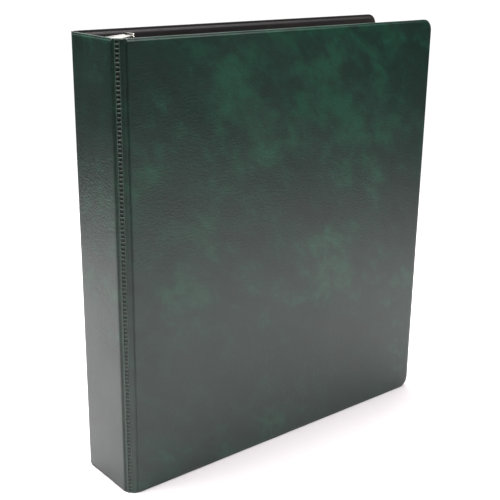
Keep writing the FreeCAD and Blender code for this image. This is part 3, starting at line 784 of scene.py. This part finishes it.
class ALBUM_OT_levers(bpy.types.Operator):
    """Make both opening levers: pressed plates with rounded edges, a hub, a tongue and a curled tip"""
    bl_idname = "album.levers"
    bl_label = "Levers"

    def execute(self, context):
        for end, up in (("top", 1), ("bottom", -1)):
            node_low, node_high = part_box(f"{end}_trigger")
            pin_low, pin_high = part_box(f"{end}_trigger_pin")
            pin_x, pin_z = (pin_low.x + pin_high.x)/2, (pin_low.z + pin_high.z)/2
            outer_z = node_high.z if up > 0 else node_low.z
            reach = node_high.x - pin_x
            out = abs(outer_z - pin_z)
            inner_z = node_low.z if up > 0 else node_high.z
            half = node_high.y
            spot = self.placer(pin_x, pin_z, up)
            shells = [self.plate(spot, reach, out, half), self.hub(spot, half*HUB_SHARE),
                      self.tongue(spot, abs(inner_z - pin_z))]
            points, faces = [], []
            for shell_points, shell_faces in shells:
                start = len(points)
                points += shell_points
                faces += [tuple(start + i for i in face) for face in shell_faces]
            piece = make_object(f"{end}_lever", points, faces, ["nickel"], crease_degrees=40)
            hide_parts(f"{end}_trigger")
            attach(piece, f"{end}_lever")
        return {"FINISHED"}

    def placer(self, pin_x, pin_z, up):
        """A function from (above the pin, along the pin, beyond the pin) to a point in the frame."""
        return lambda above, across, beyond: (pin_x + above, across, pin_z + up*beyond)

    def ribbon(self, spot, path):
        """A sheet-metal ribbon along a path of (above, beyond, half width, half thickness)."""
        loops = []
        for i, (above, beyond, wide, thick) in enumerate(path):
            before, after = path[max(i - 1, 0)], path[min(i + 1, len(path) - 1)]
            heading = Vector((after[0] - before[0], after[1] - before[1])).normalized()
            side = Vector((-heading.y, heading.x))
            section = [(wide - thick + thick*math.cos(a), thick*math.sin(a))
                       for a in (math.radians(-90 + 180*k/EDGE_PARTS) for k in range(EDGE_PARTS + 1))]
            section += [(-across, deep) for across, deep in reversed(section)]
            loops.append([spot(above + side.x*deep, across, beyond + side.y*deep)
                          for across, deep in section])
        return skin_loops(loops)

    def plate(self, spot, reach, out, half):
        """The finger plate: up out of the housing, over in a bend, tapering to its curled tip."""
        thick = LEVER_SHEET/2
        tip, level = reach - CURL, out - CURL
        start = level - PLATE_SLOPE*tip
        path = [(PLATE_BACK, PLATE_FOOT, half*FOOT_SHARE, thick), (PLATE_BACK, start - BEND, half, thick)]
        path += [(PLATE_BACK + BEND*(1 - math.cos(a)), start - BEND + BEND*math.sin(a), half, thick)
                 for a in (math.radians(angle) for angle in (20, 40, 60, 78))]
        for share in (0.22, 0.34, 0.46, 0.58, 0.70, 0.80, 0.90):
            above = tip*share
            width = half + (TIP_HALF - half)*(max(share - TAPER_FROM, 0)/(1 - TAPER_FROM))**TAPER_CURVE
            dish = PLATE_DISH*math.sin(math.pi*share)
            path.append((above, start + PLATE_SLOPE*above - dish, width, thick))
        curl = CURL - thick
        path += [(tip + curl*math.sin(a), level - curl*math.cos(a), TIP_HALF, thick)
                 for a in (math.radians(angle) for angle in (0, 30, 60, 90, 120, 150, 180, 205))]
        return self.ribbon(spot, path)

    def hub(self, spot, half):
        """The rolled hub round the pin."""
        outer, bevel = HUB_WALL + LEVER_SHEET, HUB_BEVEL
        rings = ((HUB_BORE, half), (outer - bevel, half), (outer, half - bevel), (outer, -half + bevel),
                 (outer - bevel, -half), (HUB_BORE, -half))
        turns = [math.tau*i/HUB_PARTS for i in range(HUB_PARTS)]
        points = [spot(radius*math.cos(turn), across, radius*math.sin(turn))
                  for radius, across in rings for turn in turns]
        faces = []
        for row in range(len(rings)):
            here, there = row*HUB_PARTS, (row + 1) % len(rings)*HUB_PARTS
            for i in range(HUB_PARTS):
                j = (i + 1) % HUB_PARTS
                faces.append((here + i, here + j, there + j, there + i))
        return points, faces

    def tongue(self, spot, inward):
        """The narrow tongue that lifts the blades."""
        thick = LEVER_SHEET/2
        low = TONGUE_DROP + thick
        path = [(low, beyond, TONGUE_HALF, thick) for beyond in (0.4*MM, -1.0*MM, -inward*0.6)]
        path.append((low, -inward, TONGUE_TIP_HALF, thick))
        return self.ribbon(spot, path)


class ALBUM_OT_ring_metal(bpy.types.Operator):
    """Give the rings, housing and rivets their nickel, and the blades and pins their zinc"""
    bl_idname = "album.ring_metal"
    bl_label = "Ring metal"

    def execute(self, context):
        dress("ring_housing", "nickel")
        for name, _ in COVERS:
            dress(f"{name}_blade", "zinc")
            for place in ("top", "middle", "bottom"):
                dress(f"{name}_{place}_ring", "nickel")
        for end in ("top", "bottom"):
            dress(f"{end}_trigger_pin", "zinc")
            dress(f"{end}_rivet", "nickel")
        return {"FINISHED"}


# ---------------------------------------------------------------- stage

class ALBUM_OT_stage(bpy.types.Operator):
    """Set the paper sweep, the soft light, the surroundings and the camera"""
    bl_idname = "album.stage"
    bl_label = "Stage"

    def execute(self, context):
        scene, stage = context.scene, context.scene.album_stage
        self.make_floor(stage, scene.album_finish)
        self.make_light("key", stage.key_power, KEY_PLACE, KEY_SIZE)
        self.make_light("fill", stage.fill_power, FILL_PLACE, FILL_SIZE)
        self.make_world(scene)
        self.make_camera(scene, stage)
        scene.view_settings.view_transform = "Standard"
        return {"FINISHED"}

    def make_floor(self, stage, colours):
        """A round sheet of white paper that fades into the surroundings."""
        material, tree = start_material("matt_white_paper_sweep")
        where = add_node(tree, "ShaderNodeTexCoord").outputs["Object"]
        far = add_node(tree, "ShaderNodeVectorMath", {"operation": "LENGTH"}, {0: where}).outputs["Value"]
        fade = add_node(tree, "ShaderNodeMapRange", {"interpolation_type": "SMOOTHSTEP"}, {
            "Value": far, "From Min": FADE_START*stage.floor_radius,
            "From Max": FADE_END*stage.floor_radius})
        paper = add_node(tree, "ShaderNodeBsdfDiffuse", inputs={"Color": linear(colours.floor)})
        clear = add_node(tree, "ShaderNodeBsdfTransparent")
        both = add_node(tree, "ShaderNodeMixShader", inputs={
            0: fade.outputs["Result"], 1: paper.outputs["BSDF"], 2: clear.outputs["BSDF"]})
        add_node(tree, "ShaderNodeOutputMaterial", inputs={"Surface": both.outputs["Shader"]})
        turns = [math.tau*i/FLOOR_SIDES for i in range(FLOOR_SIDES)]
        around = [(stage.floor_radius*math.cos(turn), stage.floor_radius*math.sin(turn), 0)
                  for turn in turns]
        mesh = bpy.data.meshes.new("paper_sweep")
        mesh.from_pydata(around, [], [tuple(range(FLOOR_SIDES))])
        mesh.materials.append(material)
        floor = bpy.data.objects.new("paper_sweep", mesh)
        floor.location.z = CAD_BOX[0].z
        bpy.context.scene.collection.objects.link(floor)

    def make_light(self, name, power, place, size):
        """A square soft light aimed at the album's middle."""
        data = bpy.data.lights.new(f"{name}_light", "AREA")
        data.energy, data.size = power, size
        light = bpy.data.objects.new(f"{name}_light", data)
        light.location = place
        light.rotation_euler = (Vector(ALBUM_MIDDLE) - Vector(place)).to_track_quat("-Z", "Y").to_euler()
        bpy.context.scene.collection.objects.link(light)

    def make_world(self, scene):
        """White behind the album, and for its light a dim room with one bright backdrop."""
        world = bpy.data.worlds.new("studio")
        world.use_nodes = True
        tree = world.node_tree
        tree.nodes.clear()
        direction = add_node(tree, "ShaderNodeTexCoord").outputs["Generated"]
        # the lit backdrop stands to the right behind the album
        toward = add_node(tree, "ShaderNodeVectorMath", {"operation": "DOT_PRODUCT"}, {
            0: direction, 1: BACKDROP_DIRECTION}).outputs["Value"]
        level = add_node(tree, "ShaderNodeMapRange", {"interpolation_type": "SMOOTHSTEP"}, {
            "Value": toward, "From Min": BACKDROP_EDGE, "From Max": BACKDROP_CORE,
            "To Min": ROOM_LEVEL, "To Max": BACKDROP_LEVEL})
        room = add_node(tree, "ShaderNodeBackground", inputs={
            "Color": (1, 1, 1, 1), "Strength": level.outputs["Result"]})
        white = add_node(tree, "ShaderNodeBackground", inputs={
            "Color": (1, 1, 1, 1), "Strength": WHITE_LEVEL})
        seen = add_node(tree, "ShaderNodeLightPath").outputs["Is Camera Ray"]
        both = add_node(tree, "ShaderNodeMixShader", inputs={
            0: seen, 1: room.outputs["Background"], 2: white.outputs["Background"]})
        add_node(tree, "ShaderNodeOutputWorld", inputs={"Surface": both.outputs["Shader"]})
        scene.world = world

    def make_camera(self, scene, stage):
        """The camera, turned round its target by azimuth and elevation, with its small roll."""
        data = bpy.data.cameras.new("camera")
        data.sensor_width, data.lens = 36.0, stage.lens
        data.clip_start = 0.01
        back = Vector((math.sin(stage.azimuth)*math.cos(stage.elevation),
                       -math.cos(stage.azimuth)*math.cos(stage.elevation), math.sin(stage.elevation)))
        turn = back.to_track_quat("Z", "Y").to_matrix().to_4x4() @ Matrix.Rotation(stage.roll, 4, "Z")
        camera = bpy.data.objects.new("camera", data)
        camera.matrix_world = Matrix.Translation(Vector(stage.target) + back*stage.distance) @ turn
        scene.collection.objects.link(camera)
        scene.camera = camera


# ---------------------------------------------------------------- panel and registration

STEPS = (ALBUM_OT_outer_sheets, ALBUM_OT_linings, ALBUM_OT_hinge_webs, ALBUM_OT_folds,
         ALBUM_OT_boards, ALBUM_OT_levers, ALBUM_OT_ring_metal, ALBUM_OT_stage)
SETTINGS = (("album_case", CaseSettings), ("album_finish", FinishSettings), ("album_stage", StageSettings))


class ALBUM_PT_sidebar(bpy.types.Panel):
    """Settings of the album and the steps that make it"""
    bl_idname = "ALBUM_PT_sidebar"
    bl_label = "Stamp Album"
    bl_space_type = "VIEW_3D"
    bl_region_type = "UI"
    bl_category = "Album"

    def draw(self, context):
        for name, kind in SETTINGS:
            box = self.layout.box()
            for setting in kind.__annotations__:
                box.prop(getattr(context.scene, name), setting)
        for step in STEPS:
            self.layout.operator(step.bl_idname)


def register():
    """Register the settings, the steps and the sidebar panel."""
    for name, kind in SETTINGS:
        bpy.utils.register_class(kind)
        setattr(bpy.types.Scene, name, bpy.props.PointerProperty(type=kind))
    for kind in STEPS + (ALBUM_PT_sidebar,):
        bpy.utils.register_class(kind)


def unregister():
    """Take everything off again, in the opposite order."""
    for kind in reversed(STEPS + (ALBUM_PT_sidebar,)):
        bpy.utils.unregister_class(kind)
    for name, kind in reversed(SETTINGS):
        delattr(bpy.types.Scene, name)
        bpy.utils.unregister_class(kind)


def main():
    """Register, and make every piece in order."""
    register()
    for step in STEPS:
        group, name = step.bl_idname.split(".")
        getattr(getattr(bpy.ops, group), name)()


if __name__ == "__main__":
    main()
